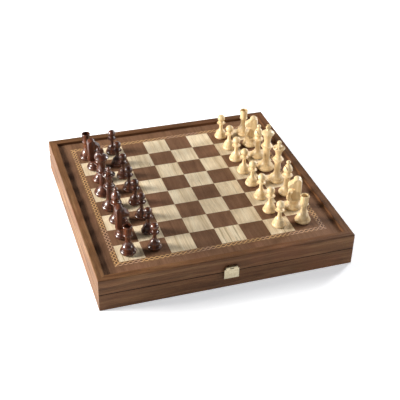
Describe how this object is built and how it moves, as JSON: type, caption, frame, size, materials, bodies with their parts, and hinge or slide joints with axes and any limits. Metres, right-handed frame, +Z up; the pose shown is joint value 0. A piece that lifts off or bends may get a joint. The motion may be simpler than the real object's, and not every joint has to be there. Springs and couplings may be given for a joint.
{
  "type": "chess set with board",
  "caption": "Chess set on a hinged walnut storage case whose lid is the inlaid playing board, with turned light and dark chessmen standing in the starting position.",
  "frame": {"origin": "centre of the underside of the case", "axes": "+Z up from the underside; +X from the dark army to the light army; -Y is the front, with the clasp; the hinges are at +Y"},
  "size_m": [0.342, 0.3457, 0.1156],
  "materials": {
    "walnut": "satin walnut veneer",
    "plywood": "bare plywood",
    "lining_felt": "brown felt",
    "brass": "pale polished brass",
    "light_veneer": "satin pale figured veneer",
    "dark_veneer": "satin walnut veneer",
    "inlay": "golden patterned inlay",
    "boxwood": "satin pale turned wood",
    "lacquered_wood": "glossy red-brown turned wood"
  },
  "bodies": {
    "base": {"base_front_wall": "walnut", "base_right_wall": "walnut", "base_back_wall": "walnut", "base_left_wall": "walnut", "base_floor_panel": "plywood", "base_floor_lining": "lining_felt", "clasp_keeper": "brass", "keeper_nails": "brass", "hinge_leaves_lower": "brass", "hinge_screws_lower": "brass", "hinge_pins": "brass"},
    "lid": {"lid_front_wall": "walnut", "lid_right_wall": "walnut", "lid_back_wall": "walnut", "lid_left_wall": "walnut", "board_panel": "plywood", "light_squares": "light_veneer", "dark_squares": "dark_veneer", "inlay_band": "inlay", "border_veneer": "walnut", "lid_lining": "lining_felt", "hinge_leaves_upper": "brass", "hinge_screws_upper": "brass", "clasp_plate": "brass", "clasp_nails": "brass", "clasp_pin": "brass"},
    "clasp_flap": {"clasp_flap": "brass"},
    "light_rook_a": {"light_rook_a": "boxwood"},
    "light_pawn_a": {"light_pawn_a": "boxwood"},
    "light_knight_b": {"light_knight_b": "boxwood"},
    "light_pawn_b": {"light_pawn_b": "boxwood"},
    "light_bishop_c": {"light_bishop_c": "boxwood"},
    "light_pawn_c": {"light_pawn_c": "boxwood"},
    "light_queen": {"light_queen": "boxwood"},
    "light_pawn_d": {"light_pawn_d": "boxwood"},
    "light_king": {"light_king": "boxwood"},
    "light_pawn_e": {"light_pawn_e": "boxwood"},
    "light_bishop_f": {"light_bishop_f": "boxwood"},
    "light_pawn_f": {"light_pawn_f": "boxwood"},
    "light_knight_g": {"light_knight_g": "boxwood"},
    "light_pawn_g": {"light_pawn_g": "boxwood"},
    "light_rook_h": {"light_rook_h": "boxwood"},
    "light_pawn_h": {"light_pawn_h": "boxwood"},
    "dark_rook_a": {"dark_rook_a": "lacquered_wood"},
    "dark_pawn_a": {"dark_pawn_a": "lacquered_wood"},
    "dark_knight_b": {"dark_knight_b": "lacquered_wood"},
    "dark_pawn_b": {"dark_pawn_b": "lacquered_wood"},
    "dark_bishop_c": {"dark_bishop_c": "lacquered_wood"},
    "dark_pawn_c": {"dark_pawn_c": "lacquered_wood"},
    "dark_queen": {"dark_queen": "lacquered_wood"},
    "dark_pawn_d": {"dark_pawn_d": "lacquered_wood"},
    "dark_king": {"dark_king": "lacquered_wood"},
    "dark_pawn_e": {"dark_pawn_e": "lacquered_wood"},
    "dark_bishop_f": {"dark_bishop_f": "lacquered_wood"},
    "dark_pawn_f": {"dark_pawn_f": "lacquered_wood"},
    "dark_knight_g": {"dark_knight_g": "lacquered_wood"},
    "dark_pawn_g": {"dark_pawn_g": "lacquered_wood"},
    "dark_rook_h": {"dark_rook_h": "lacquered_wood"},
    "dark_pawn_h": {"dark_pawn_h": "lacquered_wood"}
  },
  "joints": [
    {"name": "lid_hinge", "type": "hinge", "parent": "base", "child": "lid", "pos_m": [0, 0.167, 0.025], "axis": [-1, 0, 0], "range_deg": [0, 100]},
    {"name": "clasp_hinge", "type": "hinge", "parent": "lid", "child": "clasp_flap", "pos_m": [0, -0.1732, 0.033], "axis": [-1, 0, 0], "range_deg": [0, 170]},
    {"name": "light_rook_a_lift", "type": "slide", "parent": "lid", "child": "light_rook_a", "axis": [0, 0, 1], "range_m": [0, 0.09]},
    {"name": "light_pawn_a_lift", "type": "slide", "parent": "lid", "child": "light_pawn_a", "axis": [0, 0, 1], "range_m": [0, 0.09]},
    {"name": "light_knight_b_lift", "type": "slide", "parent": "lid", "child": "light_knight_b", "axis": [0, 0, 1], "range_m": [0, 0.09]},
    {"name": "light_pawn_b_lift", "type": "slide", "parent": "lid", "child": "light_pawn_b", "axis": [0, 0, 1], "range_m": [0, 0.09]},
    {"name": "light_bishop_c_lift", "type": "slide", "parent": "lid", "child": "light_bishop_c", "axis": [0, 0, 1], "range_m": [0, 0.09]},
    {"name": "light_pawn_c_lift", "type": "slide", "parent": "lid", "child": "light_pawn_c", "axis": [0, 0, 1], "range_m": [0, 0.09]},
    {"name": "light_queen_lift", "type": "slide", "parent": "lid", "child": "light_queen", "axis": [0, 0, 1], "range_m": [0, 0.09]},
    {"name": "light_pawn_d_lift", "type": "slide", "parent": "lid", "child": "light_pawn_d", "axis": [0, 0, 1], "range_m": [0, 0.09]},
    {"name": "light_king_lift", "type": "slide", "parent": "lid", "child": "light_king", "axis": [0, 0, 1], "range_m": [0, 0.09]},
    {"name": "light_pawn_e_lift", "type": "slide", "parent": "lid", "child": "light_pawn_e", "axis": [0, 0, 1], "range_m": [0, 0.09]},
    {"name": "light_bishop_f_lift", "type": "slide", "parent": "lid", "child": "light_bishop_f", "axis": [0, 0, 1], "range_m": [0, 0.09]},
    {"name": "light_pawn_f_lift", "type": "slide", "parent": "lid", "child": "light_pawn_f", "axis": [0, 0, 1], "range_m": [0, 0.09]},
    {"name": "light_knight_g_lift", "type": "slide", "parent": "lid", "child": "light_knight_g", "axis": [0, 0, 1], "range_m": [0, 0.09]},
    {"name": "light_pawn_g_lift", "type": "slide", "parent": "lid", "child": "light_pawn_g", "axis": [0, 0, 1], "range_m": [0, 0.09]},
    {"name": "light_rook_h_lift", "type": "slide", "parent": "lid", "child": "light_rook_h", "axis": [0, 0, 1], "range_m": [0, 0.09]},
    {"name": "light_pawn_h_lift", "type": "slide", "parent": "lid", "child": "light_pawn_h", "axis": [0, 0, 1], "range_m": [0, 0.09]},
    {"name": "dark_rook_a_lift", "type": "slide", "parent": "lid", "child": "dark_rook_a", "axis": [0, 0, 1], "range_m": [0, 0.09]},
    {"name": "dark_pawn_a_lift", "type": "slide", "parent": "lid", "child": "dark_pawn_a", "axis": [0, 0, 1], "range_m": [0, 0.09]},
    {"name": "dark_knight_b_lift", "type": "slide", "parent": "lid", "child": "dark_knight_b", "axis": [0, 0, 1], "range_m": [0, 0.09]},
    {"name": "dark_pawn_b_lift", "type": "slide", "parent": "lid", "child": "dark_pawn_b", "axis": [0, 0, 1], "range_m": [0, 0.09]},
    {"name": "dark_bishop_c_lift", "type": "slide", "parent": "lid", "child": "dark_bishop_c", "axis": [0, 0, 1], "range_m": [0, 0.09]},
    {"name": "dark_pawn_c_lift", "type": "slide", "parent": "lid", "child": "dark_pawn_c", "axis": [0, 0, 1], "range_m": [0, 0.09]},
    {"name": "dark_queen_lift", "type": "slide", "parent": "lid", "child": "dark_queen", "axis": [0, 0, 1], "range_m": [0, 0.09]},
    {"name": "dark_pawn_d_lift", "type": "slide", "parent": "lid", "child": "dark_pawn_d", "axis": [0, 0, 1], "range_m": [0, 0.09]},
    {"name": "dark_king_lift", "type": "slide", "parent": "lid", "child": "dark_king", "axis": [0, 0, 1], "range_m": [0, 0.09]},
    {"name": "dark_pawn_e_lift", "type": "slide", "parent": "lid", "child": "dark_pawn_e", "axis": [0, 0, 1], "range_m": [0, 0.09]},
    {"name": "dark_bishop_f_lift", "type": "slide", "parent": "lid", "child": "dark_bishop_f", "axis": [0, 0, 1], "range_m": [0, 0.09]},
    {"name": "dark_pawn_f_lift", "type": "slide", "parent": "lid", "child": "dark_pawn_f", "axis": [0, 0, 1], "range_m": [0, 0.09]},
    {"name": "dark_knight_g_lift", "type": "slide", "parent": "lid", "child": "dark_knight_g", "axis": [0, 0, 1], "range_m": [0, 0.09]},
    {"name": "dark_pawn_g_lift", "type": "slide", "parent": "lid", "child": "dark_pawn_g", "axis": [0, 0, 1], "range_m": [0, 0.09]},
    {"name": "dark_rook_h_lift", "type": "slide", "parent": "lid", "child": "dark_rook_h", "axis": [0, 0, 1], "range_m": [0, 0.09]},
    {"name": "dark_pawn_h_lift", "type": "slide", "parent": "lid", "child": "dark_pawn_h", "axis": [0, 0, 1], "range_m": [0, 0.09]}
  ]
}
